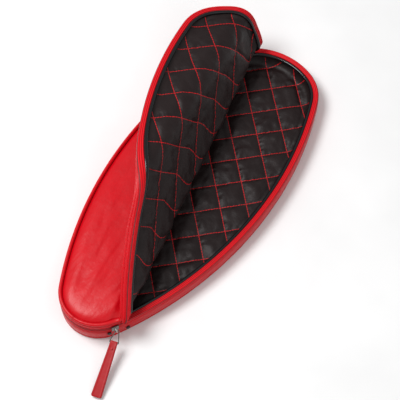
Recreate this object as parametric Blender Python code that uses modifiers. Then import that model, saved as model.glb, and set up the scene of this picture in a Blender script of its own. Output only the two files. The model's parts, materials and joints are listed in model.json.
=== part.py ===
"""Teardrop racket case with a zipped lid, lying on its back.

Frame: metres, +Z up, the case's long axis along Y with its narrow end at -Y. The origin is the middle of the
flat back, on the surface that the case lies on. The lid is drawn flat and closed, and the empties on its fold
and bend lines then turn it to its rest pose: zip open past the narrow end, lid standing up and curling over.
"""

import math

import bmesh
import bpy
from mathutils import Matrix, Quaternion, Vector

# Plan outline: four kinds of tangent arcs, mirrored about the long axis.
LENGTH = 0.564
NARROW_RADIUS = 0.057
SIDE_RADIUS = 0.577
SHOULDER_RADIUS = 0.072
WIDE_RADIUS = 0.108
SHOULDER_START = math.radians(24)     # angle that the wide end's arc spans on each side of the axis

# Depths, from the surface up.
BACK_THICKNESS = 0.003
RIM_HEIGHT = 0.032                    # the base's rim, where the zip parts
LID_DEPTH = 0.0174
CLOSED_HEIGHT = RIM_HEIGHT + LID_DEPTH
CLEARANCE = 0.0004                    # gap between pieces that touch in the real case

# Sections of the strips that follow the outline.
WALL = 0.0055
WELT_RADIUS = 0.0028
WELT_INSET = 0.0032
PIPING_RADIUS = 0.0027
PIPING_INSET = 0.0087
TAPE = 0.0050
TAPE_INSET = 0.0005
COIL = 0.0020
PANEL_INSET = 0.0064
LINING_INSET = 0.0092
LINING = 0.0050

# The lid: one fold line, and a second line where the opened flap rolls on over.
FOLD_START = 0.0356                   # distance of the fold's start from the narrow tip, along the axis
FOLD_HEADING = math.radians(12.4)     # fold line from the long axis, towards the hinge side
FOLD_REST = math.radians(118)
ROLL_HEADING = math.radians(19.6)     # second line, along which the flap rolls on over
ROLL_ALONG = 0.300                    # a place on that line: this far along the fold line, and this far from it
ROLL_ASIDE = 0.083
ROLL_REST = math.radians(57)
HINGE_END = 0.060                     # lower end of the sewn hinge, from the narrow tip

# Zip slider and pull.
SLIDER_TURN = math.radians(7)         # how far behind the fold's start the slider waits, about the narrow arc
PLATE = (0.0110, 0.0026, 0.0100)      # slider face plate: along the zip, through it, and in height
BACK_PLATE_THICKNESS = 0.0012         # slider back plate, low enough to pass between the two tapes
BACK_PLATE_HEIGHT = 0.0044
CROWN_WIRE = 0.0010
CROWN_REACH = 0.0045
BAIL_WIRE = 0.0008
BAIL_LENGTH = 0.0160
BAIL_HALF_WIDTH = 0.0069
BAIL_DROOP = math.radians(25)
PULL_HEADING = math.radians(-44)      # pull's direction from straight out of the rim
STRAP_LENGTH = 0.079
STRAP_WIDTHS = (0.0112, 0.0160)
STRAP_THICKNESS = 0.0030
STRAP_END = 0.0034                    # strap that reaches past the bail's bar
STRAP_DROOP = math.radians(15.5)
STUD_RADIUS = 0.0032

NARROW_CENTRE = Vector((0.0, NARROW_RADIUS - LENGTH / 2))

COLOURS = {                           # base colour, roughness, metallic
    "red_leather": ((0.62, 0.010, 0.020, 1), 0.35, 0.0),
    "zip_tape": ((0.48, 0.008, 0.016, 1), 0.60, 0.0),
    "zip_coil": ((0.030, 0.010, 0.010, 1), 0.45, 0.0),
    "quilted_lining": ((0.022, 0.017, 0.017, 1), 0.45, 0.0),
    "black_piping": ((0.012, 0.012, 0.013, 1), 0.30, 0.0),
    "stiffener": ((0.080, 0.080, 0.085, 1), 0.80, 0.0),
    "nickel": ((0.62, 0.60, 0.58, 1), 0.22, 1.0),
    "black_rubber": ((0.015, 0.015, 0.015, 1), 0.55, 0.0),
}


# ---------------------------------------------------------------- scene and helpers

def clear_scene():
    for thing in list(bpy.data.objects):
        bpy.data.objects.remove(thing, do_unlink=True)


def new_collection(name):
    collection = bpy.data.collections.new(name)
    bpy.context.scene.collection.children.link(collection)
    return collection


def material(slot):
    found = bpy.data.materials.get(slot)
    if found:
        return found
    colour, roughness, metallic = COLOURS[slot]
    made = bpy.data.materials.new(slot)
    made.use_nodes = True
    shader = made.node_tree.nodes["Principled BSDF"]
    shader.inputs["Base Color"].default_value = colour
    shader.inputs["Roughness"].default_value = roughness
    shader.inputs["Metallic"].default_value = metallic
    made.diffuse_color = colour
    return made


def add_object(name, data, slot, parent):
    """Puts data in the scene as one piece of the case, hung on a joint's empty or on nothing."""
    piece = bpy.data.objects.new(name, data)
    PARTS.objects.link(piece)
    if data.materials:
        data.materials[0] = material(slot)
    else:
        data.materials.append(material(slot))
    if parent:
        piece.parent = parent["empty"]
        piece.matrix_parent_inverse = parent["drawn"].inverted()
    return piece


def flat_curve(name, outlines, z_low, z_high, slot, parent=None):
    """A prism: one closed outline, or an outer and an inner one, filled and extruded between two heights."""
    curve = bpy.data.curves.new(name, "CURVE")
    curve.dimensions = "2D"
    curve.fill_mode = "BOTH"
    curve.extrude = (z_high - z_low) / 2
    for outline in outlines:
        spline = curve.splines.new("POLY")
        spline.points.add(len(outline) - 1)
        for point, (x, y) in zip(spline.points, outline):
            point.co = (x, y, 0, 1)
        spline.use_cyclic_u = True
    piece = add_object(name, curve, slot, parent)
    piece.location.z = (z_low + z_high) / 2
    return piece


def cord(name, path, radius, slot, parent=None, closed=False, sides_level=2):
    """A round cord along a list of points, with filled ends."""
    curve = bpy.data.curves.new(name, "CURVE")
    curve.dimensions = "3D"
    curve.bevel_depth = radius
    curve.bevel_resolution = sides_level
    curve.use_fill_caps = True
    spline = curve.splines.new("POLY")
    spline.points.add(len(path) - 1)
    for point, place in zip(spline.points, path):
        point.co = (*place, 1)
    spline.use_cyclic_u = closed
    return add_object(name, curve, slot, parent)


def as_mesh(piece):
    """Turns a curve piece into a closed mesh piece, which can take modifiers."""
    bpy.context.view_layer.update()
    graph = bpy.context.evaluated_depsgraph_get()
    mesh = bpy.data.meshes.new_from_object(piece.evaluated_get(graph))
    form = bmesh.new()
    form.from_mesh(mesh)
    bmesh.ops.remove_doubles(form, verts=form.verts, dist=0.00001)
    form.to_mesh(mesh)
    form.free()
    name, slot = piece.name, piece.data.materials[0].name
    made = bpy.data.objects.new(name + "_mesh", mesh)
    PARTS.objects.link(made)
    made.parent = piece.parent
    made.matrix_parent_inverse = piece.matrix_parent_inverse
    made.matrix_basis = piece.matrix_basis
    bpy.data.objects.remove(piece, do_unlink=True)
    made.name = name
    made.data.materials.clear()
    made.data.materials.append(material(slot))
    return made


def box(name, size, place, slot, turn=0.0, parent=None, bevel=0.0):
    """A block with its scale in its mesh, turned about Z, with its edges rounded by bevel."""
    form = bmesh.new()
    bmesh.ops.create_cube(form, size=1.0)
    bmesh.ops.scale(form, vec=size, verts=form.verts)
    mesh = bpy.data.meshes.new(name)
    form.to_mesh(mesh)
    form.free()
    piece = add_object(name, mesh, slot, parent)
    piece.location = place
    piece.rotation_euler.z = turn
    if bevel:
        rounded = piece.modifiers.new("rounded", "BEVEL")
        rounded.width = bevel
        rounded.segments = 2
    return piece


def stud(name, radius, height, place, outward, slot, parent=None):
    """A low round head whose axis points outward."""
    form = bmesh.new()
    bmesh.ops.create_cone(
        form, cap_ends=True, segments=16, radius1=radius, radius2=radius, depth=height
    )
    mesh = bpy.data.meshes.new(name)
    form.to_mesh(mesh)
    form.free()
    piece = add_object(name, mesh, slot, parent)
    piece.location = place
    piece.rotation_mode = "QUATERNION"
    piece.rotation_quaternion = Vector(outward).to_track_quat("Z", "Y")
    rounded = piece.modifiers.new("rounded", "BEVEL")
    rounded.width = height * 0.4
    rounded.segments = 2
    return piece


def boolean(piece, cutter, operation):
    cut = piece.modifiers.new(operation.lower(), "BOOLEAN")
    cut.operation = operation
    cut.solver = "EXACT"
    cut.object = cutter


def as_cutter(piece):
    PARTS.objects.unlink(piece)
    CUTTERS.objects.link(piece)
    piece.hide_render = True
    piece.display_type = "WIRE"
    return piece


# ---------------------------------------------------------------- plan outline

def arc(centre, radius, start, end, step):
    """Points of an arc from angle start to angle end, both included."""
    count = max(1, math.ceil(abs(end - start) / step))
    angles = [start + (end - start) * i / count for i in range(count + 1)]
    return [(centre[0] + radius * math.cos(a), centre[1] + radius * math.sin(a)) for a in angles]


def side_arc_centre(narrow, shoulder):
    """Centre of the side's arc, which touches the narrow end's and the shoulder's circles from outside."""
    reach_narrow = SIDE_RADIUS - NARROW_RADIUS
    reach_shoulder = SIDE_RADIUS - SHOULDER_RADIUS
    between = shoulder - narrow
    span = between.length
    along = (reach_narrow**2 - reach_shoulder**2 + span**2) / (2 * span)
    across = math.sqrt(reach_narrow**2 - along**2)
    unit = between.normalized()
    return narrow + unit * along + Vector((-unit.y, unit.x)) * across


def outline(inset=0.0):
    """The case's outline moved inwards, as points counter-clockwise from the narrow tip."""
    wide = Vector((0.0, LENGTH / 2 - WIDE_RADIUS))
    away = WIDE_RADIUS - SHOULDER_RADIUS
    shoulder = wide + away * Vector((math.sin(SHOULDER_START), math.cos(SHOULDER_START)))
    side = side_arc_centre(NARROW_CENTRE, shoulder)
    low = math.atan2(NARROW_CENTRE.y - side.y, NARROW_CENTRE.x - side.x)
    high = math.atan2(shoulder.y - side.y, shoulder.x - side.x)
    turn = math.pi / 2 - SHOULDER_START
    half = arc(NARROW_CENTRE, NARROW_RADIUS - inset, -math.pi / 2, low, math.radians(7))
    half += arc(side, SIDE_RADIUS - inset, low, high, math.radians(3.2))[1:]
    half += arc(shoulder, SHOULDER_RADIUS - inset, high, turn, math.radians(12))[1:]
    half += arc(wide, WIDE_RADIUS - inset, turn, math.pi / 2, math.radians(8))[1:]
    other = [(-x, y) for x, y in reversed(half[1:-1])]
    return half + other


class Line:
    """A straight line across the lid's plan."""

    def __init__(self, point, direction):
        self.point = Vector(point)
        self.direction = Vector(direction).normalized()
        self.normal = Vector((-self.direction.y, self.direction.x))    # to the left of the direction

    def side(self, place):
        return (Vector(place) - self.point).dot(self.normal)

    def crossing(self, points, far):
        """Where the line meets a closed outline, as edge number plus share, at its far or its near end."""
        found = []
        for i, here in enumerate(points):
            there = points[(i + 1) % len(points)]
            a, b = self.side(here), self.side(there)
            if (a < 0) != (b < 0):
                share = a / (a - b)
                place = Vector(here).lerp(Vector(there), share)
                found.append(((place - self.point).dot(self.direction), i + share))
        return max(found)[1] if far else min(found)[1]


def stretch(points, start, end):
    """The part of a closed outline from one crossing on to another, drawn in by the clearance at both ends."""
    count = len(points)

    def at(position):
        i = math.floor(position)
        return Vector(points[i % count]).lerp(Vector(points[(i + 1) % count]), position - i)

    if end < start:
        end += count
    path = [at(start)] + [Vector(points[i % count]) for i in range(math.floor(start) + 1, math.ceil(end))]
    path.append(at(end))
    return [tuple(p) for p in shortened(shortened(path)[::-1])[::-1]]


def shortened(path):
    """A path whose start is drawn in by the clearance, past any corner that is closer than that."""
    while len(path) > 2 and (path[1] - path[0]).length < 2 * CLEARANCE:
        path = [path[0]] + path[2:]
    return [path[0] + (path[1] - path[0]).normalized() * CLEARANCE] + path[1:]


def clipped(points, line, keep_left):
    """A closed outline cut back to one side of a line, clear of it by half the clearance."""
    sign = 1 if keep_left else -1

    def depth(place):
        return sign * line.side(place) - CLEARANCE / 2

    kept = []
    for i, here in enumerate(points):
        there = points[(i + 1) % len(points)]
        a, b = depth(here), depth(there)
        if a >= 0:
            kept.append(tuple(here))
        if (a < 0) != (b < 0):
            kept.append(tuple(Vector(here).lerp(Vector(there), a / (a - b))))
    return kept


def fold_start():
    """Where the fold line leaves the narrow end's arc."""
    rise = FOLD_START - NARROW_RADIUS
    return NARROW_CENTRE + Vector((math.sqrt(NARROW_RADIUS**2 - rise**2), rise))


def heading(angle):
    """A direction at an angle to the long axis, positive towards the hinge side."""
    return Vector((-math.sin(angle), math.cos(angle)))


FOLD = Line(fold_start(), heading(FOLD_HEADING))
ROLL = Line(FOLD.point + FOLD.direction * ROLL_ALONG - FOLD.normal * ROLL_ASIDE, heading(ROLL_HEADING))
HINGE_LINE = Line((0.0, HINGE_END - LENGTH / 2), (-1, 0))
LOWER_SEAM = Line((0.0, 1.6 * NARROW_RADIUS - LENGTH / 2), (1, 0))     # seams of the base's wall
UPPER_SEAM = Line((0.0, LENGTH / 2 - WIDE_RADIUS), (1, 0))


def strip(start, end, inset, thickness):
    """The closed outline of a strip between two insets, from one cut to another."""
    outer, inner = outline(inset), outline(inset + thickness)
    path = stretch(outer, start[0].crossing(outer, start[1]), end[0].crossing(outer, end[1]))
    back = stretch(inner, start[0].crossing(inner, start[1]), end[0].crossing(inner, end[1]))
    return path + back[::-1]


def line_along(start, end, inset, z):
    """The points of a cord that follows the outline from one cut to another."""
    points = outline(inset)
    path = stretch(points, start[0].crossing(points, start[1]), end[0].crossing(points, end[1]))
    return [(x, y, z) for x, y in path]


# ---------------------------------------------------------------- joints

def joint_empty(name, point, axis, angle, parent=None):
    """An empty on a joint's axis. drawn is its place while the lid is flat, and angle turns it to rest."""
    drawn = Matrix.Translation(point) @ Vector(axis).to_track_quat("X", "Z").to_matrix().to_4x4()
    empty = bpy.data.objects.new(name, None)
    PARTS.objects.link(empty)
    empty.rotation_mode = "QUATERNION"
    if parent:
        empty.parent = parent["empty"]
        empty.matrix_parent_inverse = parent["drawn"].inverted()
    empty.location = point
    empty.rotation_quaternion = drawn.to_quaternion() @ Quaternion((1, 0, 0), angle)
    return {"empty": empty, "drawn": drawn}


def lid_joints():
    """The lid's fold and roll lines, on its outer face."""
    fold = joint_empty("joint_lid_fold", (*FOLD.point, CLOSED_HEIGHT), (*FOLD.direction, 0), -FOLD_REST)
    roll = joint_empty("joint_lid_roll", (*ROLL.point, CLOSED_HEIGHT), (*ROLL.direction, 0), -ROLL_REST, fold)
    return {"side": fold, "tip": roll}


# ---------------------------------------------------------------- base

def build_base():
    rim_start, rim_end = (HINGE_LINE, True), (FOLD, True)
    flat_curve("back_panel", [outline(PANEL_INSET)], 0.0, BACK_THICKNESS, "red_leather")
    welt_height = WELT_RADIUS + CLEARANCE
    ring = [(x, y, welt_height) for x, y in outline(WELT_INSET)]
    cord("back_welt", ring, WELT_RADIUS, "red_leather", closed=True)
    wall_low = welt_height + WELT_RADIUS + CLEARANCE
    tape_low, coil_low = RIM_HEIGHT - 0.0082, RIM_HEIGHT - 0.0024
    for name, start, end in (
        ("narrow", (LOWER_SEAM, False), (LOWER_SEAM, True)),
        ("right", (LOWER_SEAM, True), (UPPER_SEAM, True)),
        ("wide", (UPPER_SEAM, True), (UPPER_SEAM, False)),
        ("left", (UPPER_SEAM, False), (LOWER_SEAM, False)),
    ):
        wall = strip(start, end, 0.0, WALL)
        flat_curve("base_wall_" + name, [wall], wall_low, tape_low - CLEARANCE, "red_leather")
    tape = strip(rim_start, rim_end, TAPE_INSET, TAPE)
    flat_curve("base_zip_tape", [tape], tape_low, coil_low - CLEARANCE, "zip_tape")
    coil = strip(rim_start, rim_end, TAPE_INSET, COIL)
    flat_curve("base_zip_coil", [coil], coil_low, RIM_HEIGHT - CLEARANCE, "zip_coil")
    piping_height = RIM_HEIGHT - PIPING_RADIUS - 0.0006
    ring = [(x, y, piping_height) for x, y in outline(PIPING_INSET)]
    cord("base_piping", ring, PIPING_RADIUS, "black_piping", closed=True)
    board_low = BACK_THICKNESS + CLEARANCE
    board_high = board_low + 0.0020
    flat_curve("back_stiffener", [outline(LINING_INSET)], board_low, board_high, "stiffener")
    pad_low = board_high + CLEARANCE
    flat_curve("base_lining", [outline(LINING_INSET)], pad_low, pad_low + LINING, "quilted_lining")
    side_lining = [outline(WALL + CLEARANCE), outline(LINING_INSET - CLEARANCE)]
    lining_high = piping_height - PIPING_RADIUS - CLEARANCE
    flat_curve("base_side_lining", side_lining, wall_low, lining_high, "quilted_lining")
    gusset = strip((FOLD, True), (HINGE_LINE, True), TAPE_INSET, TAPE)
    flat_curve("hinge_gusset", [gusset], tape_low, RIM_HEIGHT + 0.0060, "red_leather")


# ---------------------------------------------------------------- lid

def build_lid_facet(name, region, parent):
    """One flat facet of the lid: its front panel and its quilted lining. region cuts an outline to the facet."""
    panel_low = CLOSED_HEIGHT - 0.0034
    pad_high = panel_low - CLEARANCE
    flat_curve("lid_panel_" + name, [region(outline(PANEL_INSET))], panel_low, CLOSED_HEIGHT, "red_leather", parent)
    flat_curve(
        "lid_lining_" + name, [region(outline(LINING_INSET))], pad_high - LINING, pad_high, "quilted_lining", parent
    )


def build_lid_edge(name, start, end, parent, zipped=True):
    """The strips along one stretch of the lid's edge, from the rim up: coil, tape, wall and welt, and the piping."""
    coil_low = RIM_HEIGHT + 0.0008
    tape_low, wall_low = coil_low + 0.0023, coil_low + 0.0060
    welt_height = CLOSED_HEIGHT - WELT_RADIUS - 0.0004
    wall = strip(start, end, 0.0, WALL)
    flat_curve("lid_wall_" + name, [wall], wall_low, welt_height - WELT_RADIUS - CLEARANCE, "red_leather", parent)
    cord("lid_welt_" + name, line_along(start, end, WELT_INSET, welt_height), WELT_RADIUS, "red_leather", parent)
    piping = line_along(start, end, PIPING_INSET, RIM_HEIGHT + PIPING_RADIUS + 0.0010)
    cord("lid_piping_" + name, piping, PIPING_RADIUS, "black_piping", parent)
    if zipped:
        build_lid_zip(name, start, end, parent, coil_low, tape_low, wall_low - CLEARANCE)


def build_lid_zip(name, start, end, parent, coil_low, tape_low, tape_high):
    tape = strip(start, end, TAPE_INSET, TAPE)
    flat_curve("lid_zip_tape_" + name, [tape], tape_low, tape_high, "zip_tape", parent)
    coil = strip(start, end, TAPE_INSET, COIL)
    flat_curve("lid_zip_coil_" + name, [coil], coil_low, tape_low - CLEARANCE, "zip_coil", parent)


def build_lid():
    joints = lid_joints()
    build_lid_facet("closed", lambda p: clipped(p, FOLD, True), None)
    build_lid_facet("side", lambda p: clipped(clipped(p, FOLD, False), ROLL, True), joints["side"])
    build_lid_facet("tip", lambda p: clipped(p, ROLL, False), joints["tip"])
    build_lid_edge("closed", (FOLD, True), (FOLD, False), None, zipped=False)
    build_lid_edge("side_free", (FOLD, False), (ROLL, False), joints["side"])
    build_lid_edge("tip", (ROLL, False), (ROLL, True), joints["tip"])
    build_lid_edge("side_hinge", (ROLL, True), (FOLD, True), joints["side"])
    coil_low = RIM_HEIGHT + 0.0008
    build_lid_zip(
        "closed", (HINGE_LINE, True), (FOLD, False), None, coil_low, coil_low + 0.0023, coil_low + 0.0056
    )


# ---------------------------------------------------------------- slider and pull

def radial(angle):
    return Vector((math.cos(angle), math.sin(angle), 0.0))


def build_slider():
    """The slider clamps the zip: a face plate outside, a back plate inside and a nose between the coils."""
    start = FOLD.point - NARROW_CENTRE
    angle = math.atan2(start.y, start.x) - SLIDER_TURN
    out = radial(angle)
    centre = Vector((*NARROW_CENTRE, 0.0))
    level = Vector((0, 0, RIM_HEIGHT + 0.0002))
    travel = joint_empty("joint_slider_travel", centre + level, (0, 0, 1), 0.0)
    turn = angle + math.pi / 2
    face_inner = NARROW_RADIUS + 0.0006
    back_outer = NARROW_RADIUS - TAPE_INSET - COIL - 0.0008
    plate = box(
        "slider_body", PLATE, centre + level + out * (face_inner + PLATE[1] / 2), "nickel", turn, travel, 0.0007
    )
    back = box(
        "slider_back_plate", (PLATE[0], BACK_PLATE_THICKNESS, BACK_PLATE_HEIGHT),
        centre + level + out * (back_outer - BACK_PLATE_THICKNESS / 2), "nickel", turn, travel
    )
    nose_span = face_inner - back_outer + 0.0012
    nose = box(
        "slider_nose", (0.0040, nose_span, 0.0005),
        centre + level + out * (back_outer + nose_span / 2 - 0.0006), "nickel", turn, travel
    )
    boolean(plate, as_cutter(back), "UNION")
    boolean(plate, as_cutter(nose), "UNION")
    face_outer = face_inner + PLATE[1]
    arch = [(math.cos(a) * CROWN_REACH, math.sin(a) * 0.0036) for a in
            [math.radians(-90 + 22.5 * i) for i in range(9)]]
    foot = face_outer + CLEARANCE + CROWN_WIRE * 0.2
    path = [centre + level + out * (foot + r) + Vector((0, 0, z)) for r, z in arch]
    cord("slider_crown", path, CROWN_WIRE, "nickel", travel)
    return travel, centre + level + out * (foot + CROWN_REACH), angle


def build_pull(travel, pivot, angle):
    """The wire bail, which turns about the crown's wire, and the leather strap that turns on its bar."""
    swing = joint_empty("joint_pull_swing", pivot, (0, 0, 1), 0.0, travel)
    ahead = radial(angle + PULL_HEADING)
    aside = Vector((-ahead.y, ahead.x, 0.0))
    along = ahead * math.cos(BAIL_DROOP) - Vector((0, 0, math.sin(BAIL_DROOP)))
    shape = [(-0.0029, 0.0009), (-0.0018, 0.0024), (0.0010, 0.0030),
             (BAIL_LENGTH - 0.0012, BAIL_HALF_WIDTH - 0.0002), (BAIL_LENGTH, BAIL_HALF_WIDTH - 0.0014)]
    loop = shape + [(x, -y) for x, y in reversed(shape)]
    cord("pull_bail", [pivot + along * x + aside * y for x, y in loop], BAIL_WIRE, "nickel", swing, closed=True)
    bar = pivot + along * BAIL_LENGTH
    hang = joint_empty("joint_strap_swing", bar, aside, 0.0, swing)
    top, bottom = STRAP_WIDTHS
    sides = [(-STRAP_END, top / 2 - 0.0020), (-STRAP_END + 0.0016, top / 2), (0.010, top / 2 + 0.0008),
             (STRAP_LENGTH - 0.0040, bottom / 2), (STRAP_LENGTH, bottom / 2 - 0.0030)]
    plan = sides + [(x, -y) for x, y in reversed(sides)]
    strap = as_mesh(flat_curve("pull_strap", [plan[::-1]], -STRAP_THICKNESS / 2, STRAP_THICKNESS / 2, "red_leather"))
    direction = ahead * math.cos(STRAP_DROOP) - Vector((0, 0, math.sin(STRAP_DROOP)))
    lift = direction.cross(aside)
    turn = Matrix((direction, aside, lift)).transposed().to_4x4()
    place = Matrix.Translation(bar) @ turn
    bar_hole = box("bar_hole", (0.0024, 0.0300, 0.0024), (0, 0, 0), "nickel")
    bar_hole.matrix_world = place
    boolean(strap, as_cutter(bar_hole), "DIFFERENCE")
    hang_on(strap, hang, place)
    rivet_place = bar + direction * 0.0085 + lift * (STRAP_THICKNESS / 2 + 0.0008 + CLEARANCE)
    stud("strap_rivet", 0.0016, 0.0016, rivet_place, lift, "nickel", hang)


def hang_on(piece, joint, place):
    """Parents a piece that is already in its place in the world to a joint's empty."""
    piece.parent = joint["empty"]
    piece.matrix_parent_inverse = joint["drawn"].inverted()
    piece.matrix_basis = place


def build_studs():
    """Two low studs on the base's wall, one on each side of the zip pull."""
    rim = outline()
    for name, angle, height in (("wall_stud_left", -38, 0.0185), ("wall_stud_right", -10, 0.0120)):
        ray = Line(NARROW_CENTRE, radial(math.radians(angle)).to_2d())
        crossing = ray.crossing(rim, far=True)
        here, there = (Vector(rim[(math.floor(crossing) + i) % len(rim)]) for i in range(2))
        along = (there - here).normalized()
        out = Vector((along.y, -along.x, 0.0))
        foot = here.lerp(there, crossing - math.floor(crossing)).to_3d() + Vector((0, 0, height))
        stud(name, STUD_RADIUS, 0.0020, foot + out * (CLEARANCE + 0.0010), out, "black_rubber")


clear_scene()
PARTS = new_collection("racket_case")
CUTTERS = new_collection("cutters")
build_base()
build_lid()
build_pull(*build_slider())
build_studs()
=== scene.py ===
"""Looks of a zipped teardrop racket case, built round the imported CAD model.

The lid is one soft shell. Each of its surfaces is laid out in closed coordinates, as the zipped case has it.
It is then rolled and folded to the rest pose by the same turns as the CAD joints make, each one spread over a
zone on both sides of its line.
"""

import json
import math

import bpy
import numpy as np
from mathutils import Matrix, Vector


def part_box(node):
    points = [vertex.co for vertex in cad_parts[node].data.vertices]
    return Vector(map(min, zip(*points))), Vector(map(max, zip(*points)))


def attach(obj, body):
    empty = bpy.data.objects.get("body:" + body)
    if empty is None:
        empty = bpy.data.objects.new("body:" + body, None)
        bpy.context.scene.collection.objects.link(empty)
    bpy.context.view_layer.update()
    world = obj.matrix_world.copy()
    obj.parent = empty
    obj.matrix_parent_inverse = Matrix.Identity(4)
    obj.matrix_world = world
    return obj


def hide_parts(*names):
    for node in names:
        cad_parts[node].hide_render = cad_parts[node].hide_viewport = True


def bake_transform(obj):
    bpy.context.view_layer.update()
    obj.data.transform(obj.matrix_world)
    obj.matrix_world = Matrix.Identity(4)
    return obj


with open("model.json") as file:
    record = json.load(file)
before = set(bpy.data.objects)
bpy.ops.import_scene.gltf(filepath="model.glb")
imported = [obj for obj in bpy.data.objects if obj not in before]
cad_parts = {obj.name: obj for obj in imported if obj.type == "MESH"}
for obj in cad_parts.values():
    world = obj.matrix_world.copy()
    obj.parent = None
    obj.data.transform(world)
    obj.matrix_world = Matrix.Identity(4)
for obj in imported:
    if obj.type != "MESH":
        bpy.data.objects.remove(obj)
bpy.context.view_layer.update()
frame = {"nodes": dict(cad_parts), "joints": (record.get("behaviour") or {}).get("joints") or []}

# Plan outline, as in the CAD: four kinds of tangent arcs, mirrored about the long axis.
LENGTH = 0.564
NARROW_RADIUS = 0.057
SIDE_RADIUS = 0.577
SHOULDER_RADIUS = 0.072
WIDE_RADIUS = 0.108
SHOULDER_START = math.radians(24)

# Heights in the closed case, from the surface up.
RIM_HEIGHT = 0.032
LID_RIM_HEIGHT = RIM_HEIGHT + 0.0008
CLOSED_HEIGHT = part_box("lid_panel_closed")[1].z
FLOOR_LINING_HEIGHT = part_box("base_lining")[1].z
LID_LINING_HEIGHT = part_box("lid_lining_closed")[0].z

# Strips that follow the outline.
WELT_RADIUS, WELT_INSET = 0.0028, 0.0032
WELT_FROM_FACE = 0.0032               # the welts' middles, from the case's flat faces
PIPING_RADIUS, PIPING_INSET = 0.0028, 0.0112
COIL_RADIUS, COIL_INSET = 0.0007, 0.0010
PANEL_INSET, LINING_INSET = 0.0058, 0.0087
STATION_STEP = 0.0045                 # spacing of cross-sections along the rim
ZONE_STATIONS, ZONE_ROWS = 17, 21     # cross-sections, and rows of the broad surfaces, in the fold's zone
CORNER_SAMPLES, RIM_SAMPLES = 961, 8001               # for searches along the rim

# Half widths of the zones that the fold and the roll are spread over, and of the run-in beside the fold.
FOLD_ZONE = 0.014
ROLL_ZONE = 0.038
RUN_IN = 0.024
CORNER_WINDOW = 0.12                  # how far along the rim a corner of the fold may pull on its strips
SLUMP = 0.85                          # part of its depth that the lid's edge gives up on the fold's crest
SLUMP_REACH = 0.05                    # how far from a corner of the fold the lining slumps with the edge
WELT_DEPTH = 0.0056                   # the sewn welt under the panel keeps its shape
CREST = 0.5                           # share of the fold on its crest

# Quilting: puffs between diagonal rows of stitches, creases on them, and puckers that leave the thread.
QUILT_CELL = 0.040                    # spacing of the rows
PUFF_HEIGHT, CREASE_HEIGHT, PUCKER_HEIGHT = 0.0036, 0.0014, 0.0015
STITCH_LENGTH, THREAD_HALF_WIDTH = 0.0042, 0.0005
LINING_ROW_STEP, LINING_COLUMN_STEP = 0.0018, 0.0022
LID_QUILT_TURN = math.radians(25)     # turn of the lid's rows from the base's, with the case closed

TAPE_RIB, TAPE_SEAM_HALF_WIDTH = 0.0029, 0.00038      # the dark seams along the zip tape, and their spacing

# The pull: a tapered leather strap on a bent wire.
STRAP_LENGTH, STRAP_THICKNESS, STRAP_CORNER = 0.079, 0.0030, 0.0028
STRAP_TOP_WIDTH, STRAP_END_WIDTH = 0.0112, 0.0160
STRAP_LOOP = 0.0028                   # how far the strap's rounded top reaches past the bar
STRAP_DROOP = math.radians(15.5)
WIRE_RADIUS = 0.0008

CAMERA_AZIMUTH, CAMERA_ELEVATION = math.radians(35.2), math.radians(61.5)
CAMERA_DISTANCE = 1.761
CAMERA_TARGET = Vector((0.0204, -0.0018, 0.0))
CAMERA_LENS = 103.6                   # millimetres, on a 36 mm sensor


# ---------------------------------------------------------------- numbers

def smoothstep(x):
    x = np.clip(x, 0.0, 1.0)
    return x * x * (3 - 2 * x)


def rotation(axis, angles):
    """Rotation matrices about one axis, one per angle."""
    axis = np.asarray(axis, float) / np.linalg.norm(axis)
    cross = np.array([[0, -axis[2], axis[1]], [axis[2], 0, -axis[0]], [-axis[1], axis[0], 0]])
    angles = np.atleast_1d(angles)[:, None, None]
    return np.eye(3) + np.sin(angles) * cross + (1 - np.cos(angles)) * (cross @ cross)


def turned(points, pivot, axis, angles):
    """Points turned about a line, each by its own angle."""
    matrices = rotation(axis, np.broadcast_to(angles, len(points)))
    return np.einsum("nij,nj->ni", matrices, points - pivot) + pivot


def noise(x, y, seed):
    """Smooth value noise from -1 to 1 with features about one unit across."""
    table = np.random.default_rng(seed).uniform(-1, 1, (64, 64))
    column, row = np.floor(x).astype(int), np.floor(y).astype(int)
    u, v = smoothstep(x - column), smoothstep(y - row)

    def corner(i, j):
        return table[(row + j) % 64, (column + i) % 64]

    low = corner(0, 0) * (1 - u) + corner(1, 0) * u
    high = corner(0, 1) * (1 - u) + corner(1, 1) * u
    return low * (1 - v) + high * v


# ---------------------------------------------------------------- plan outline

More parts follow.
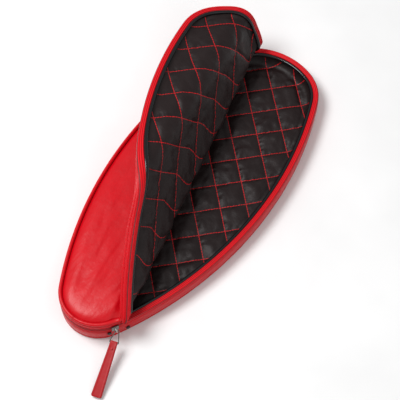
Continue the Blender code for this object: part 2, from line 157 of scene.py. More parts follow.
class Outline:
    """The plan outline by arc length, counter-clockwise from the narrow tip.

    An inset moves it straight inwards.
    """

    def __init__(self):
        narrow = np.array([0.0, NARROW_RADIUS - LENGTH / 2])
        wide = np.array([0.0, LENGTH / 2 - WIDE_RADIUS])
        away = WIDE_RADIUS - SHOULDER_RADIUS
        shoulder = wide + away * np.array([math.sin(SHOULDER_START), math.cos(SHOULDER_START)])
        span = np.linalg.norm(shoulder - narrow)
        reach = SIDE_RADIUS - NARROW_RADIUS
        along = (reach**2 - (SIDE_RADIUS - SHOULDER_RADIUS) ** 2 + span**2) / (2 * span)
        unit = (shoulder - narrow) / span
        side = narrow + unit * along + np.array([-unit[1], unit[0]]) * math.sqrt(reach**2 - along**2)
        low = math.atan2(narrow[1] - side[1], narrow[0] - side[0])
        high = math.atan2(shoulder[1] - side[1], shoulder[0] - side[0])
        turn = math.pi / 2 - SHOULDER_START
        right = [
            (narrow, NARROW_RADIUS, -math.pi / 2, low),
            (side, SIDE_RADIUS, low, high),
            (shoulder, SHOULDER_RADIUS, high, turn),
            (wide, WIDE_RADIUS, turn, math.pi / 2),
        ]
        left = [(c * (-1, 1), r, math.pi - b, math.pi - a) for c, r, a, b in reversed(right)]
        arcs = right + left
        self.centres = np.array([a[0] for a in arcs])
        self.radii = np.array([a[1] for a in arcs])
        self.starts = np.array([a[2] for a in arcs])
        lengths = np.array([r * (b - a) for _, r, a, b in arcs])
        self.ends = np.cumsum(lengths)
        self.begins = self.ends - lengths
        self.length = self.ends[-1]

    def at(self, t, inset=0.0):
        """Points of the outline at arc lengths t, and their outward normals."""
        t = np.mod(t, self.length)
        i = np.minimum(np.searchsorted(self.ends, t, side="right"), len(self.ends) - 1)
        angle = self.starts[i] + (t - self.begins[i]) / self.radii[i]
        normal = np.stack([np.cos(angle), np.sin(angle)], axis=-1)
        radius = self.radii[i] - np.asarray(inset)
        return self.centres[i] + normal * radius[..., None], normal


RIM = Outline()


# ---------------------------------------------------------------- lid's fold and roll

class Turn:
    """One joint of the lid as a turn that is spread over a zone on each side of its line.

    point and axis are in closed coordinates, and a positive angle opens. sideways is the direction across the
    line in the lid's plane, towards the part that turns.
    """

    def __init__(self, point, axis, angle, zone):
        self.point, self.axis, self.angle, self.zone = np.array(point), np.array(axis), angle, zone
        self.sideways = np.array([-axis[1], axis[0], 0.0])

    def across(self, closed):
        return (closed - self.point) @ self.sideways

    def above(self, z):
        """How far above the line a height is. What lies below the line stretches as the lid opens."""
        return z - self.point[2]

    def reach(self):
        return self.zone * math.cos(self.angle / 2)

    def share(self, closed):
        """How much of the turn each place makes, from 0 to 1, where its own turned place sets its share."""
        x, y = self.across(closed), self.above(closed[:, 2])
        share = np.where(x > 0, 1.0, 0.0)
        for _ in range(60):
            lean = self.angle * (0.5 - share)
            along = x * np.cos(lean) + y * np.sin(lean)
            share = 0.5 * share + 0.5 * smoothstep((along / self.reach() + 1) / 2)
        return share

    def place(self, nominal, z):
        """Distance across the line, in the closed case, of what lies at a nominal distance from it."""
        y = self.above(z)
        inside = np.clip(nominal, -self.zone, self.zone)
        lean = self.angle * (0.5 - smoothstep((inside / self.zone + 1) / 2))
        within = (inside / self.zone * self.reach() - y * np.sin(lean)) / np.cos(lean)
        slack = 1 - smoothstep((np.abs(nominal) - self.zone) / RUN_IN)
        outside = nominal + np.sign(nominal) * y * math.tan(self.angle / 2) * slack
        return np.where(np.abs(nominal) <= self.zone, within, outside)

    def apply(self, closed, share):
        return turned(closed, self.point, self.axis, share * self.angle)


def joint(name):
    found = next(j for j in frame["joints"] if j["name"] == name)
    return np.array(found["pos_m"]), np.array(found["axis"]), math.radians(-found["range_deg"][0])


def lid_turns():
    """The fold and the roll in closed coordinates, from the joints' places at rest."""
    point, axis, angle = joint("lid_fold")
    roll_point, roll_axis, roll_angle = joint("lid_roll")
    flat_point = turned(roll_point[None], point, axis, -angle)[0]
    flat_axis = rotation(axis, -angle)[0] @ roll_axis
    return Turn(point, axis, angle, FOLD_ZONE), Turn(flat_point, flat_axis, roll_angle, ROLL_ZONE)


FOLD, ROLL = lid_turns()
CUT = -ROLL_ZONE - 0.0012             # where the lid's pieces part, from the roll's line


def opened(closed, fold_share):
    """Closed coordinates taken to the rest pose."""
    roll_share = np.where(fold_share > 0, ROLL.share(closed), 0.0)
    return FOLD.apply(ROLL.apply(closed, roll_share), fold_share)


def slumped(z, share, from_corner=0.0):
    """Heights of the lid's edge where it slumps towards the panel on the fold's crest."""
    crest = 4 * share * (1 - share) * np.exp(-((from_corner / SLUMP_REACH) ** 2))
    return z + np.maximum(CLOSED_HEIGHT - z - WELT_DEPTH, 0.0) * SLUMP * crest


def blend_points(turn, earlier):
    """Where a turn's zone starts and ends, in the rest pose. earlier: the turns between it and the base."""
    middle = rotation(turn.axis, turn.angle / 2)[0] @ turn.sideways
    ends = turn.point + np.outer((-1, 1), middle * turn.reach())
    for other in earlier:
        ends = turned(ends, other.point, other.axis, other.angle)
    return [tuple(e) for e in ends]


BLENDS = {
    "side": ("base", "lid_side", *blend_points(FOLD, [])),
    "tip": ("lid_side", "lid_tip", *blend_points(ROLL, [FOLD])),
}


# ---------------------------------------------------------------- stations along the rim

def local_run(nominal, inset, corner, z):
    """Arc lengths near one end of the fold line where a strip lies at its place across the fold."""
    t = np.linspace(corner - CORNER_WINDOW, corner + CORNER_WINDOW, CORNER_SAMPLES)
    places, _ = RIM.at(t, inset)
    across = (places - FOLD.point[:2]) @ FOLD.sideways[:2]
    order = np.argsort(across)
    return np.interp(FOLD.place(nominal, z), across[order], t[order])


def fold_corners():
    """Arc lengths of the two ends of the fold line: at the zip's slider and at the hinge."""
    t = np.linspace(0, RIM.length, RIM_SAMPLES)
    places, _ = RIM.at(t)
    across = (places - FOLD.point[:2]) @ FOLD.sideways[:2]
    crossings = np.nonzero(np.diff(np.sign(across)))[0]
    return [float(t[i]) for i in crossings]


SLIDER_CORNER, HINGE_CORNER = fold_corners()
HINGE_END = RIM.length - 0.105        # the sewn hinge's lower end, along the rim


def nominal_across(t):
    places, _ = RIM.at(t, WELT_INSET)
    return (places - FOLD.point[:2]) @ FOLD.sideways[:2]


def build_stations():
    """Arc lengths of the lid's cross-sections, closer together in the fold's zone."""
    coarse = np.linspace(0, RIM.length, round(RIM.length / STATION_STEP), endpoint=False)
    coarse = coarse[np.abs(nominal_across(coarse)) > FOLD_ZONE * 1.08]
    in_zone = np.linspace(-FOLD_ZONE, FOLD_ZONE, ZONE_STATIONS)
    window = 0.05
    fine = []
    for corner in (SLIDER_CORNER, HINGE_CORNER):
        t = np.linspace(corner - window, corner + window, 801)      # fine enough to interpolate in
        across = nominal_across(t)
        order = np.argsort(across)
        fine.append(np.interp(in_zone, across[order], t[order]))
    return np.sort(np.concatenate([coarse, *fine]))


STATIONS = build_stations()


def lid_strip(profile):
    """Closed coordinates and fold shares of a strip whose section is a list of (inset, height)."""
    across = nominal_across(STATIONS)
    share = smoothstep((across / FOLD_ZONE + 1) / 2)
    to_slider = np.abs(STATIONS - SLIDER_CORNER)
    corner = np.where(to_slider < np.abs(STATIONS - HINGE_CORNER), SLIDER_CORNER, HINGE_CORNER)
    near = np.abs(STATIONS - corner) < CORNER_WINDOW
    pull = (1 - smoothstep((np.abs(across) - FOLD_ZONE) / RUN_IN)) * near
    columns = []
    for inset, z in profile:
        t = STATIONS.copy()
        for here in (SLIDER_CORNER, HINGE_CORNER):
            picked = (corner == here) & (pull > 0)
            solved = local_run(across[picked], inset, here, slumped(z, CREST))
            t[picked] += pull[picked] * (solved - t[picked])
        places, _ = RIM.at(t, inset)
        columns.append(np.column_stack([places, slumped(z, share)]))
    closed = np.stack(columns, axis=1)
    return closed, np.repeat(share[:, None], len(profile), axis=1)


def base_strip(profile, stations):
    columns = []
    for inset, z in profile:
        places, _ = RIM.at(stations, inset)
        columns.append(np.column_stack([places, np.full(len(stations), z)]))
    return np.stack(columns, axis=1)


def grid_faces(rows, columns, wrap_rows=False, wrap_columns=False):
    i = np.arange(rows if wrap_rows else rows - 1)
    j = np.arange(columns if wrap_columns else columns - 1)
    i, j = (a.ravel() for a in np.meshgrid(i, j, indexing="ij"))
    k, m = (i + 1) % rows, (j + 1) % columns
    return np.column_stack([i * columns + j, k * columns + j, k * columns + m, i * columns + m])


# ---------------------------------------------------------------- mesh pieces

def make_mesh(name, points, faces, uv, material, normals=None):
    mesh = bpy.data.meshes.new(name)
    mesh.from_pydata([tuple(p) for p in points], [], [tuple(int(i) for i in f) for f in faces])
    mesh.polygons.foreach_set("use_smooth", np.ones(len(mesh.polygons), bool))
    layer = mesh.uv_layers.new(name="flat")
    corners = np.zeros(len(mesh.loops), np.int64)
    mesh.loops.foreach_get("vertex_index", corners)
    layer.data.foreach_set("uv", np.asarray(uv, np.float32)[corners].ravel())
    mesh.materials.append(material)
    mesh.update()
    if normals is not None:
        mesh.normals_split_custom_set_from_vertices([tuple(n) for n in normals])
    made = bpy.data.objects.new(name, mesh)
    bpy.context.scene.collection.objects.link(made)
    return made


def vertex_normals(points, faces):
    """Area-weighted normals of a mesh of quads."""
    a, b, c, d = (points[faces[:, k]] for k in range(4))
    face = np.cross(c - a, d - b)
    total = np.zeros_like(points)
    for k in range(4):
        np.add.at(total, faces[:, k], face)
    return total / np.maximum(np.linalg.norm(total, axis=1), 1e-12)[:, None]


def lid_pieces(name, closed, share, faces, uv, material, kinds):
    """Opens a surface of the lid to its rest pose and makes one piece for each joint that it crosses.

    kinds are the CAD nodes' names that it stands for, without their last word.
    """
    closed, share = closed.reshape(-1, 3), share.ravel()
    rest = opened(closed, share)
    normals = vertex_normals(rest, faces)
    beyond = ROLL.across(closed[faces].mean(axis=1)) > CUT
    region = np.where(beyond & (share[faces].mean(axis=1) > 0.5), 1, 0)
    nodes = {"side": ("closed", "side", "side_free", "side_hinge"), "tip": ("tip",)}
    made = []
    for number, part in enumerate(("side", "tip")):
        chosen = faces[region == number]
        used, local = np.unique(chosen, return_inverse=True)
        piece = make_mesh(
            f"{name}_{part}", rest[used], local.reshape(chosen.shape), uv[used], material, normals[used]
        )
        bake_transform(piece)
        stood_for = [f"{kind}_{last}" for kind in kinds for last in nodes[part]]
        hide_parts(*[n for n in stood_for if n in frame["nodes"]])
        made.append(piece)
    return made


def strip_uv(stations, profile):
    """Texture coordinates of a strip in metres: along the rim and round the section."""
    section = np.array(profile)
    round_section = np.append(0.0, np.cumsum(np.linalg.norm(np.diff(section, axis=0), axis=1)))
    along, across = np.meshgrid(stations, round_section, indexing="ij")
    return np.stack([along, across], axis=-1).reshape(-1, 2)


def lid_sweep(name, profile, material, kinds, closed_section=False):
    """A strip of the lid along the whole outline."""
    closed, share = lid_strip(profile)
    faces = grid_faces(len(STATIONS), len(profile), True, closed_section)
    lid_pieces(name, closed, share, faces, strip_uv(STATIONS, profile), material, kinds)


def base_sweep(name, profile, material, nodes, closed_section=False, stations=None):
    """A strip of the base along the whole outline, or along the given stations."""
    places = STATIONS if stations is None else stations
    points = base_strip(profile, places).reshape(-1, 3)
    faces = grid_faces(len(places), len(profile), stations is None, closed_section)
    piece = make_mesh(name, points, faces, strip_uv(places, profile), material)
    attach(piece, "base")
    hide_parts(*nodes)


def ring_section(inset, z, radius, count=12):
    """A round section round one point."""
    angles = np.linspace(0, -2 * math.pi, count, endpoint=False)
    return [(inset + radius * math.cos(a), z + radius * math.sin(a)) for a in angles]


# ---------------------------------------------------------------- broad surfaces

def chord_grid(inset, row_step, column_step, fold_place):
    """Rows parallel to the fold line that fill the outline.

    Returns places in the closed plan, the even places that patterns follow, and each row's share of the fold.
    """
    samples = 6000
    places, _ = RIM.at(np.linspace(0, RIM.length, samples + 1), inset)
    local = places - FOLD.point[:2]
    across, along = local @ FOLD.sideways[:2], local @ -FOLD.axis[:2]
    low, high = across.min(), across.max()
    ends = row_step * np.linspace(0.02, 1, 8) ** 2 * 4      # rows crowd together where the outline closes in
    body = np.arange(low + ends[-1] + row_step, high - ends[-1] - row_step, row_step)
    body = body[np.abs(body) > FOLD_ZONE + row_step * 0.5]
    zone = np.linspace(-FOLD_ZONE, FOLD_ZONE, ZONE_ROWS)
    nominal = np.sort(np.concatenate([low + ends, body, zone, high - ends]))
    columns = round((along.max() - along.min()) / column_step)
    near, far = int(np.argmin(across)), int(np.argmax(across))
    rolled = np.roll(np.arange(samples), -near)
    reach = int(np.nonzero(rolled == far)[0][0])
    one, other = rolled[: reach + 1], np.append(rolled[reach:], near)[::-1]
    parts = np.cos(math.pi * np.linspace(0, 1, columns))
    parts = 0.5 - 0.5 * parts * (0.35 + 0.65 * np.abs(parts) ** 0.5)    # closer together at the edges

    def rows(where):
        where = np.clip(where, low + 1e-6, high - 1e-6)
        start = np.interp(where, across[one], along[one])[:, None]
        end = np.interp(where, across[other], along[other])[:, None]
        u = start + (end - start) * parts
        return FOLD.point[:2] + where[:, None, None] * FOLD.sideways[:2] - u[..., None] * FOLD.axis[:2]

    share = smoothstep((nominal / FOLD_ZONE + 1) / 2)
    return rows(fold_place(nominal)), rows(nominal), np.repeat(share[:, None], columns, axis=1)


def edge_distance(plan, inset):
    """Distance of each place from the outline at an inset."""
    samples, batches = 1400, 28
    places, _ = RIM.at(np.linspace(0, RIM.length, samples, endpoint=False), inset)
    flat = plan.reshape(-1, 2)
    nearest = np.full(len(flat), np.inf)
    for part in np.array_split(places, batches):
        gap = ((flat[:, None] - part[None]) ** 2).sum(axis=-1).min(axis=1)
        nearest = np.minimum(nearest, gap)
    return np.sqrt(nearest).reshape(plan.shape[:2])


def quilt_height(plan, seed):
    """Height of the quilting at places on its cloth."""
    x, y = plan[..., 0], plan[..., 1]
    p, q = (x + y) / math.sqrt(2) / QUILT_CELL, (y - x) / math.sqrt(2) / QUILT_CELL
    a, b = np.abs(np.sin(math.pi * p)), np.abs(np.sin(math.pi * q))
    puff = (1 - np.exp(-3.2 * a)) * (1 - np.exp(-3.2 * b))
    creases = noise(p * 2.3 + q * 1.1, q * 2.6 - p * 0.7, seed) + 0.6 * noise(p * 5.2, q * 4.4, seed + 1)
    pucker = noise(q * 11, p * 1.6, seed + 2) * np.exp(-4.5 * a) * b
    pucker = pucker + noise(p * 11, q * 1.6, seed + 3) * np.exp(-4.5 * b) * a
    return PUFF_HEIGHT * puff + CREASE_HEIGHT * creases * puff + PUCKER_HEIGHT * pucker


def broad_faces(shape, facing_up):
    faces = grid_faces(*shape)
    return faces if facing_up else faces[:, ::-1]


def lid_panel(leather):
    """The lid's outer leather, crowned over its padding, with creases that gather at the narrow end."""
    crown_height, edge_drop = 0.0074, 0.0052
    plan, _, share = chord_grid(PANEL_INSET, 0.0022, 0.0032, lambda s: s)
    inward = edge_distance(plan, PANEL_INSET)
    crown = crown_height * (1 - np.exp(-inward / 0.0075))
    x, y = plan[..., 0], plan[..., 1]
    from_tip = np.hypot(x, y + LENGTH / 2)
    angle = np.arctan2(x, y + LENGTH / 2 + 0.05)
    slack = np.exp(-(((from_tip - 0.13) / 0.09) ** 2))
    gathers = 0.0012 * noise(angle * 9 + 3, from_tip * 14, 3) + 0.0006 * noise(angle * 24, from_tip * 26, 6)
    waves = 0.0009 * noise(x * 22 + y * 9, y * 13, 4) + 0.00035 * noise(x * 60, y * 46 + x * 20, 5)
    relief = (gathers * slack + waves) * (1 - np.exp(-inward / 0.012))
    z = CLOSED_HEIGHT - edge_drop + crown + relief
    closed = np.dstack([plan, z])
    faces = broad_faces(plan.shape[:2], True)
    pieces = lid_pieces(
        "lid_leather", closed, share, faces, plan.reshape(-1, 2), leather, ["lid_panel"]
    )


def quilt_place(even):
    """Even places of the lid's lining, turned the way that its cloth was cut."""
    cos, sin = math.cos(LID_QUILT_TURN), math.sin(LID_QUILT_TURN)
    return even @ np.array([[cos, -sin], [sin, cos]])


def lid_lining(satin):
    """The lid's quilted lining, which faces down when the case is closed."""
    edge_drop, edge_width = 0.0040, 0.012                   # the edge turns down to the piping
    plan, even, share = chord_grid(
        LINING_INSET, LINING_ROW_STEP, LINING_COLUMN_STEP,
        lambda s: FOLD.place(s, slumped(LID_LINING_HEIGHT, CREST)),
    )
    even = quilt_place(even)
    inward = edge_distance(plan, LINING_INSET)
    drop = edge_drop * (1 - smoothstep(inward / edge_width))
    rise = 1 - np.exp(-inward / 0.010)
    corners, _ = RIM.at(np.array([SLIDER_CORNER, HINGE_CORNER]))
    from_corner = np.linalg.norm(plan[:, :, None] - corners, axis=-1).min(axis=-1)
    z = slumped(LID_LINING_HEIGHT + 0.0012 - drop - quilt_height(even, 20) * rise, share, from_corner)
    closed = np.dstack([plan, z])
    faces = broad_faces(plan.shape[:2], False)
    pieces = lid_pieces(
        "lid_satin", closed, share, faces, even.reshape(-1, 2), satin, ["lid_lining"]
    )


def floor_lining(satin):
    """The base's quilted lining. Its edge curves up the wall to the piping."""
    edge_width, edge_top = 0.016, RIM_HEIGHT - 0.0060
    plan, _, _ = chord_grid(LINING_INSET, LINING_ROW_STEP, LINING_COLUMN_STEP, lambda s: s)
    inward = edge_distance(plan, LINING_INSET)
    bend = np.clip(1 - inward / edge_width, 0, 1)
    climb = (edge_top - FLOOR_LINING_HEIGHT) * bend**2.6
    z = FLOOR_LINING_HEIGHT - 0.0014 + climb + quilt_height(plan, 40) * (1 - bend) ** 0.7
    points = np.dstack([plan, z]).reshape(-1, 3)
    piece = make_mesh("floor_satin", points, broad_faces(plan.shape[:2], True), plan.reshape(-1, 2), satin)
    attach(piece, "base")
    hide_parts("base_lining", "base_side_lining")


def back_leather(leather):
    """The flat back that the case lies on, a little crowned at its edge."""
    inset = PANEL_INSET - 0.0008
    plan, _, _ = chord_grid(inset, 0.006, 0.008, lambda s: s)
    z = 0.0022 * np.exp(-edge_distance(plan, inset) / 0.003) + 0.0001
    points = np.dstack([plan, z]).reshape(-1, 3)
    faces = broad_faces(plan.shape[:2], False)
    piece = make_mesh("back_leather", points, faces, plan.reshape(-1, 2), leather)
    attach(piece, "base")
    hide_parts("back_panel")


# ---------------------------------------------------------------- edges

# Sections are lists of (inset from the outline, height), in the order that makes their faces look outwards.

def base_edges(leather, tape, coil, piping):
    """The base's strips: welt, wall, zip tape with its ridges, coil, and the glossy piping inside the rim."""
    welt = ring_section(WELT_INSET, WELT_FROM_FACE, WELT_RADIUS)
    base_sweep("base_welt", welt, leather, ["back_welt"], True)
    wall = [
        (0.0022, 0.0050), (0.0010, 0.0058), (0.0004, 0.0078), (0.0001, 0.0110), (0.0, 0.0148),
        (0.0001, 0.0186), (0.0005, 0.0212), (0.0011, 0.0228), (0.0019, 0.0236), (0.0030, 0.0240),
    ]
    walls = [n for n in frame["nodes"] if n.startswith("base_wall")]
    base_sweep("base_side", wall, leather, walls)
    band = [
        (0.0026, 0.0233), (0.0012, 0.0238), (0.0005, 0.0248), (0.0006, 0.0259), (0.0013, 0.0265),
        (0.0006, 0.0271), (0.0002, 0.0281), (0.0005, 0.0291), (0.0014, 0.0296), (0.0014, 0.0300),
        (0.0009, 0.0306), (0.0012, 0.0314), (0.0021, 0.0319), (0.0031, 0.0317), (0.0036, 0.0312),
        (0.0042, 0.0316), (0.0052, 0.0320), (0.0060, 0.0317), (0.0064, 0.0311), (0.0070, 0.0315),
        (0.0078, 0.0316), (0.0085, 0.0308), (0.0088, 0.0290),
    ]
    base_sweep("base_tape", band, tape, ["base_zip_tape"])
    teeth = ring_section(COIL_INSET, 0.0299, COIL_RADIUS, 8)
    base_sweep("base_teeth", teeth, coil, ["base_zip_coil"], True)
    cord = ring_section(PIPING_INSET, RIM_HEIGHT - 0.0036, PIPING_RADIUS, 16)
    base_sweep("base_cord", cord, piping, ["base_piping"], True)


def lid_edges(leather, tape, coil, piping):
    """The lid's strips from the rim up to the welt, and its piping."""
    low = LID_RIM_HEIGHT
    band = [
        (0.0092, low + 0.0034), (0.0088, low + 0.0014), (0.0080, low + 0.0006), (0.0070, low + 0.0005),
        (0.0064, low + 0.0010), (0.0060, low + 0.0005), (0.0052, low + 0.0002), (0.0042, low + 0.0005),
        (0.0036, low + 0.0010), (0.0031, low + 0.0005), (0.0021, low + 0.0003), (0.0012, low + 0.0008),
        (0.0009, low + 0.0016), (0.0014, low + 0.0022), (0.0014, low + 0.0026), (0.0005, low + 0.0031),
        (0.0002, low + 0.0040), (0.0006, low + 0.0049), (0.0013, low + 0.0055), (0.0022, low + 0.0058),
    ]
    lid_sweep("lid_tape", band, tape, ["lid_zip_tape"])
    wall = [
        (0.0030, low + 0.0054), (0.0014, low + 0.0057), (0.0005, low + 0.0064), (0.0, low + 0.0078),
        (0.0002, low + 0.0092), (0.0008, low + 0.0104), (0.0018, low + 0.0112), (0.0030, low + 0.0116),
    ]
    lid_sweep("lid_side_wall", wall, leather, ["lid_wall"])
    welt = ring_section(WELT_INSET, CLOSED_HEIGHT - WELT_FROM_FACE, WELT_RADIUS)
    lid_sweep("lid_edge_welt", welt, leather, ["lid_welt"], True)
    teeth = ring_section(COIL_INSET, low + 0.0020, COIL_RADIUS, 8)
    lid_sweep("lid_teeth", teeth, coil, ["lid_zip_coil"], True)
    cord = ring_section(PIPING_INSET, low + 0.0032, PIPING_RADIUS, 16)
    lid_sweep("lid_cord", cord, piping, ["lid_piping"], True)


def hinge_leather(leather):
    """The sewn hinge: a leather strip over both rims along the side that the lid folds from."""
    stations = np.linspace(HINGE_CORNER + 0.012, HINGE_END, 220)
    band = [
        (0.0008, 0.0256), (0.0, 0.0262), (-0.0004, 0.0280), (-0.0006, 0.0322), (-0.0004, 0.0364),
        (0.0, 0.0380), (0.0008, 0.0386),
    ]
    base_sweep("hinge_leather", band, leather, ["hinge_gusset"], stations=stations)


# ---------------------------------------------------------------- pull

def pull_strap(leather):
    """A tapered leather strap with raised, pressed edges and rounded corners."""
    pivot, axis, _ = joint("strap_swing")
    side = -axis if axis[0] < 0 else axis
    ahead = np.cross(side, (0, 0, 1))
    along = ahead * math.cos(STRAP_DROOP) - np.array([0, 0, 1.0]) * math.sin(STRAP_DROOP)
    up = np.cross(side, along) * np.sign(np.cross(side, along)[2])
    straight = STRAP_LENGTH - STRAP_CORNER
    steps = np.concatenate([
        np.linspace(-STRAP_LOOP, 0.0, 7),
        np.linspace(0.003, straight, 34),
        STRAP_LENGTH - STRAP_CORNER * (1 - np.sin(np.linspace(0.15, 1.55, 9))),
    ])
    rows = []
    for s in steps:
        width = STRAP_TOP_WIDTH + (STRAP_END_WIDTH - STRAP_TOP_WIDTH) * np.clip(s / STRAP_LENGTH, 0, 1)
        thick = STRAP_THICKNESS
        if s < 0:
            thick = STRAP_THICKNESS * math.sqrt(max(0.04, 1 - (s / 0.0029) ** 2))
        past = (s - straight) / STRAP_CORNER
        if past > 0:
            round_off = math.sqrt(max(0.0, 1 - past**2))
            width -= 2 * STRAP_CORNER * (1 - round_off)
            thick = STRAP_THICKNESS * (0.55 + 0.45 * round_off)
        v = np.linspace(-1, 1, 19)
        half = thick / 2 * np.sqrt(np.clip(1 - np.abs(v) ** 9, 0, 1))
        ridge = 0.00055 * np.exp(-(((width / 2 * (1 - np.abs(v)) - 0.0017) / 0.0007) ** 2)) * (s > 0.001)
        top = np.column_stack([v * width / 2, half + ridge])
        bottom = np.column_stack([v[::-1] * width / 2, -half[::-1]])[1:-1]
        section = np.vstack([top, bottom])
        rows.append(pivot + along * s + section[:, :1] * side + section[:, 1:] * up)
    count = len(rows[0])
    points = np.vstack(rows)
    faces = [list(f) for f in grid_faces(len(rows), count, False, True)]
    faces += [list(range(count - 1, -1, -1)), list(range((len(rows) - 1) * count, len(rows) * count))]
    local = points - pivot
    uv = np.column_stack([local @ along, local @ side])
    piece = make_mesh("strap_leather", points, faces, uv, leather)
    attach(piece, "strap")
    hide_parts("pull_strap")


def rounded(loop):
    """A closed loop with its corners cut again and again until they are round."""
    loop = np.asarray(loop, float)
    for _ in range(3):
        after = np.roll(loop, -1, axis=0)
        cuts = [0.78 * loop + 0.22 * after, 0.22 * loop + 0.78 * after]
        loop = np.stack(cuts, axis=1).reshape(-1, 2)
    return loop


def pull_wire(metal):
    """The bail: an A-shaped wire with round corners, from the slider's loop to its bar in the strap."""
    pivot, _, _ = joint("pull_swing")
    bar, side, _ = joint("strap_swing")
    length = np.linalg.norm(bar - pivot)
    along = (bar - pivot) / length
    half = [                              # (distance from the loop, half width), before the corners are cut
        (-0.0029, 0.0010), (-0.0018, 0.0025), (0.0010, 0.0030), (length - 0.0012, 0.0067), (length, 0.0060)
    ]
    loop = rounded(half + [(x, -y) for x, y in reversed(half)])
    data = bpy.data.curves.new("bail_wire", "CURVE")
    data.dimensions, data.bevel_depth, data.bevel_resolution = "3D", WIRE_RADIUS, 3
    spline = data.splines.new("POLY")
    spline.points.add(len(loop) - 1)
    for point, (x, y) in zip(spline.points, loop):
        point.co = (*(pivot + along * x + side * y), 1)
    spline.use_cyclic_u, spline.use_smooth = True, True
    data.materials.append(metal)
    piece = bpy.data.objects.new("bail_wire", data)
    bpy.context.scene.collection.objects.link(piece)
    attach(piece, "bail")
    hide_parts("pull_bail")


# ---------------------------------------------------------------- materials

class Shader:
    """A procedural material with its nodes added one by one."""

    def __init__(self, name, colour, roughness, metallic=0.0):
        self.material = bpy.data.materials.new(name)
        self.material.use_nodes = True
        self.tree = self.material.node_tree
        self.body = next(n for n in self.tree.nodes if n.type == "BSDF_PRINCIPLED")
        self.body.inputs["Base Color"].default_value = (*colour, 1)
        self.body.inputs["Roughness"].default_value = roughness
        self.body.inputs["Metallic"].default_value = metallic

    def node(self, kind, inputs=None, **settings):
        made = self.tree.nodes.new(kind)
        for key, value in settings.items():
            setattr(made, key, value)
        for key, value in (inputs or {}).items():
            if isinstance(value, bpy.types.NodeSocket):
                self.tree.links.new(value, made.inputs[key])
            else:
                made.inputs[key].default_value = value
        return made

    def math(self, operation, *values):
        return self.node("ShaderNodeMath", dict(enumerate(values)), operation=operation).outputs[0]

    def place(self):
        """Flat places in metres."""
        return self.node("ShaderNodeUVMap", uv_map="flat").outputs[0]

    def solid_place(self):
        return self.node("ShaderNodeTexCoord").outputs["Object"]

    def noise(self, place, scale, detail=3.0):
        return self.node(
            "ShaderNodeTexNoise", {"Vector": place, "Scale": scale, "Detail": detail, "Roughness": 0.55}
        ).outputs[0]

    def colour(self, factor, first, second):
        mix = self.node("ShaderNodeMix", data_type="RGBA")
        self.tree.links.new(factor, mix.inputs[0])
        for socket, value in ((mix.inputs[6], first), (mix.inputs[7], second)):
            if isinstance(value, bpy.types.NodeSocket):
                self.tree.links.new(value, socket)
            else:
                socket.default_value = (*value, 1)
        self.tree.links.new(mix.outputs[2], self.body.inputs["Base Color"])
        return mix.outputs[2]

    def bump(self, height, distance, strength):
        made = self.node("ShaderNodeBump", {"Height": height, "Distance": distance, "Strength": strength})
        self.tree.links.new(made.outputs[0], self.body.inputs["Normal"])


def leather_material(name, light, dark, roughness, grain=1.0):
    """Leather with a fine grain and wrinkles that are drawn out one way."""
    shader = Shader(name, light, roughness)
    place = shader.place()
    shader.colour(shader.noise(place, 34), dark, light)
    fine = shader.noise(place, 700, 4)
    broad = shader.noise(place, 120, 3)
    stretch = {"Vector": place, "Rotation": (0, 0, 0.3), "Scale": (1, 0.34, 1)}
    wrinkles = shader.noise(shader.node("ShaderNodeMapping", stretch).outputs[0], 95, 5)
    relief = shader.math("MULTIPLY_ADD", fine, 0.4, broad)
    shader.bump(shader.math("MULTIPLY_ADD", wrinkles, 2.6, relief), 0.00038 * grain, 0.75)
    shader.body.inputs["Specular IOR Level"].default_value = 0.24
    shader.body.inputs["Coat Weight"].default_value = 0.05
    shader.body.inputs["Coat Roughness"].default_value = 0.25
    return shader.material


def tape_material():
    """Woven tape with dark seams along it."""
    shader = Shader("woven_tape", (0.50, 0.001, 0.006), 0.5)
    shader.body.inputs["Specular IOR Level"].default_value = 0.2
    place = shader.place()
    cloth = shader.colour(shader.noise(place, 90), (0.56, 0.0010, 0.006), (0.70, 0.0020, 0.010))
    across = shader.node("ShaderNodeSeparateXYZ", {0: place}).outputs[1]
    from_seam = shader.math("PINGPONG", across, TAPE_RIB / 2)
    seam = shader.math("LESS_THAN", from_seam, TAPE_SEAM_HALF_WIDTH)
    shader.colour(seam, cloth, (0.24, 0.0006, 0.003))
    weave = shader.node("ShaderNodeTexWave", {"Vector": place, "Scale": 260.0, "Distortion": 0.6})
    shader.bump(weave.outputs["Fac"], 0.00012, 0.4)
    return shader.material


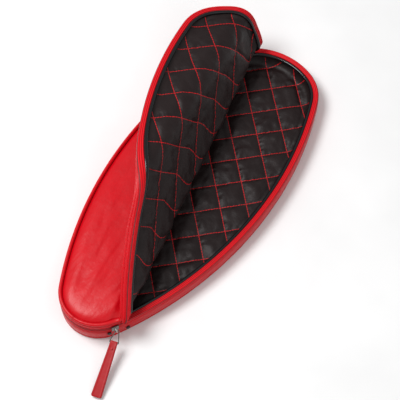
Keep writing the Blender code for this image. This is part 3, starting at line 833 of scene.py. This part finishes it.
def satin_material():
    """Dark padded satin, with red thread in short stitches along two sets of diagonals."""
    shader = Shader("quilted_satin", (0.011, 0.005, 0.005), 0.48)
    place = shader.place()
    parts = shader.node("ShaderNodeSeparateXYZ", {0: place}).outputs
    total = shader.math("ADD", parts[0], parts[1])
    difference = shader.math("SUBTRACT", parts[1], parts[0])
    one = shader.math("DIVIDE", total, math.sqrt(2) * QUILT_CELL)
    other = shader.math("DIVIDE", difference, math.sqrt(2) * QUILT_CELL)

    def thread(across, along):
        gap = shader.math("PINGPONG", across, 0.5)
        beside = shader.math("MULTIPLY", gap, QUILT_CELL)
        near = shader.math("LESS_THAN", beside, THREAD_HALF_WIDTH)
        stitch = shader.math("FRACT", shader.math("MULTIPLY", along, QUILT_CELL / STITCH_LENGTH))
        return shader.math("MULTIPLY", near, shader.math("LESS_THAN", stitch, 0.80))

    red = shader.math("MAXIMUM", thread(one, other), thread(other, one))
    cloth = shader.colour(shader.noise(place, 40), (0.007, 0.003, 0.003), (0.014, 0.007, 0.007))
    shader.colour(red, cloth, (0.50, 0.003, 0.008))
    crumple = shader.noise(place, 85, 4)
    shader.bump(shader.math("MULTIPLY_ADD", shader.noise(place, 420, 3), 0.15, crumple), 0.0011, 0.8)
    shader.body.inputs["Specular IOR Level"].default_value = 0.24
    shader.body.inputs["Sheen Weight"].default_value = 0.02
    shader.body.inputs["Sheen Roughness"].default_value = 0.4
    return shader.material


def plain_material(name, colour, roughness, metallic=0.0, scale=300.0, gloss=0.5):
    """A plain finish with faint unevenness."""
    shader = Shader(name, colour, roughness, metallic)
    shader.body.inputs["Specular IOR Level"].default_value = gloss
    place = shader.solid_place()
    shade = tuple(c * 0.82 for c in colour)
    shader.colour(shader.noise(place, scale / 4), shade, colour)
    shader.bump(shader.noise(place, scale), 0.00005, 0.5)
    return shader.material


# ---------------------------------------------------------------- scene

def direction_of(azimuth, elevation):
    """Unit vector from the case towards an azimuth, from -Y round to +X, and an elevation."""
    return Vector((
        math.sin(azimuth) * math.cos(elevation), -math.cos(azimuth) * math.cos(elevation), math.sin(elevation)
    ))


def add_light(name, energy, size, azimuth, elevation, distance):
    data = bpy.data.lights.new(name, "AREA")
    data.shape, data.size, data.energy = "DISK", size, energy
    light = bpy.data.objects.new(name, data)
    direction = direction_of(azimuth, elevation)
    light.location = direction * distance
    light.rotation_euler = (-direction).to_track_quat("-Z", "Y").to_euler()
    bpy.context.scene.collection.objects.link(light)


def add_camera():
    direction = direction_of(CAMERA_AZIMUTH, CAMERA_ELEVATION)
    data = bpy.data.cameras.new("camera")
    data.lens, data.sensor_width = CAMERA_LENS, 36.0
    camera = bpy.data.objects.new("camera", data)
    camera.location = CAMERA_TARGET + direction * CAMERA_DISTANCE
    camera.rotation_euler = (-direction).to_track_quat("-Z", "Y").to_euler()
    bpy.context.scene.collection.objects.link(camera)
    bpy.context.scene.camera = camera


def add_floor():
    bpy.ops.mesh.primitive_plane_add(size=12.0, location=(0, 0, -0.0006))
    floor = bpy.context.object
    floor.name = "floor"
    floor.data.materials.append(plain_material("floor_paper", (0.90, 0.90, 0.90), 0.9, scale=20.0))


def add_world():
    world = bpy.data.worlds.new("studio")
    bpy.context.scene.world = world
    world.use_nodes = True
    background = next(n for n in world.node_tree.nodes if n.type == "BACKGROUND")
    background.inputs["Color"].default_value = (1, 1, 1, 1)
    background.inputs["Strength"].default_value = 0.52


def paint_carried_over(finishes):
    """Materials for the CAD nodes that stay in view, from their names."""
    for name, node in frame["nodes"].items():
        finish = next((f for key, f in finishes if key in name), None)
        if finish is not None:
            node.data.materials.clear()
            node.data.materials.append(finish)


def main():
    leather = leather_material("smooth_leather", (0.58, 0.0012, 0.008), (0.46, 0.0006, 0.005), 0.36)
    strap = leather_material("strap_leather", (0.38, 0.0008, 0.004), (0.32, 0.0005, 0.003), 0.40, 0.5)
    tape, satin = tape_material(), satin_material()
    coil = plain_material("coil", (0.10, 0.004, 0.006), 0.45)
    piping = plain_material("covered_cord", (0.005, 0.005, 0.006), 0.18, gloss=0.36)
    nickel = plain_material("nickel", (0.70, 0.68, 0.64), 0.20, 1.0)
    gunmetal = plain_material("dark_nickel", (0.20, 0.19, 0.18), 0.25, 1.0)
    enamel = plain_material("strap_enamel", (0.46, 0.002, 0.008), 0.3)
    rubber = plain_material("rubber", (0.015, 0.015, 0.015), 0.6)
    board = plain_material("board", (0.16, 0.16, 0.17), 0.8)

    lid_panel(leather)
    lid_lining(satin)
    floor_lining(satin)
    back_leather(leather)
    base_edges(leather, tape, coil, piping)
    lid_edges(leather, tape, coil, piping)
    hinge_leather(leather)
    pull_strap(strap)
    pull_wire(gunmetal)
    paint_carried_over([
        ("stud", rubber), ("slider_body", gunmetal), ("crown", nickel), ("rivet", enamel),
        ("stiffener", board),
    ])

    add_floor()
    add_world()
    add_light("key", 40, 1.0, math.radians(-60), math.radians(64), 2.2)
    add_light("fill", 8, 2.2, math.radians(70), math.radians(45), 2.6)
    add_camera()
    bpy.context.scene.view_settings.view_transform = "Standard"


main()
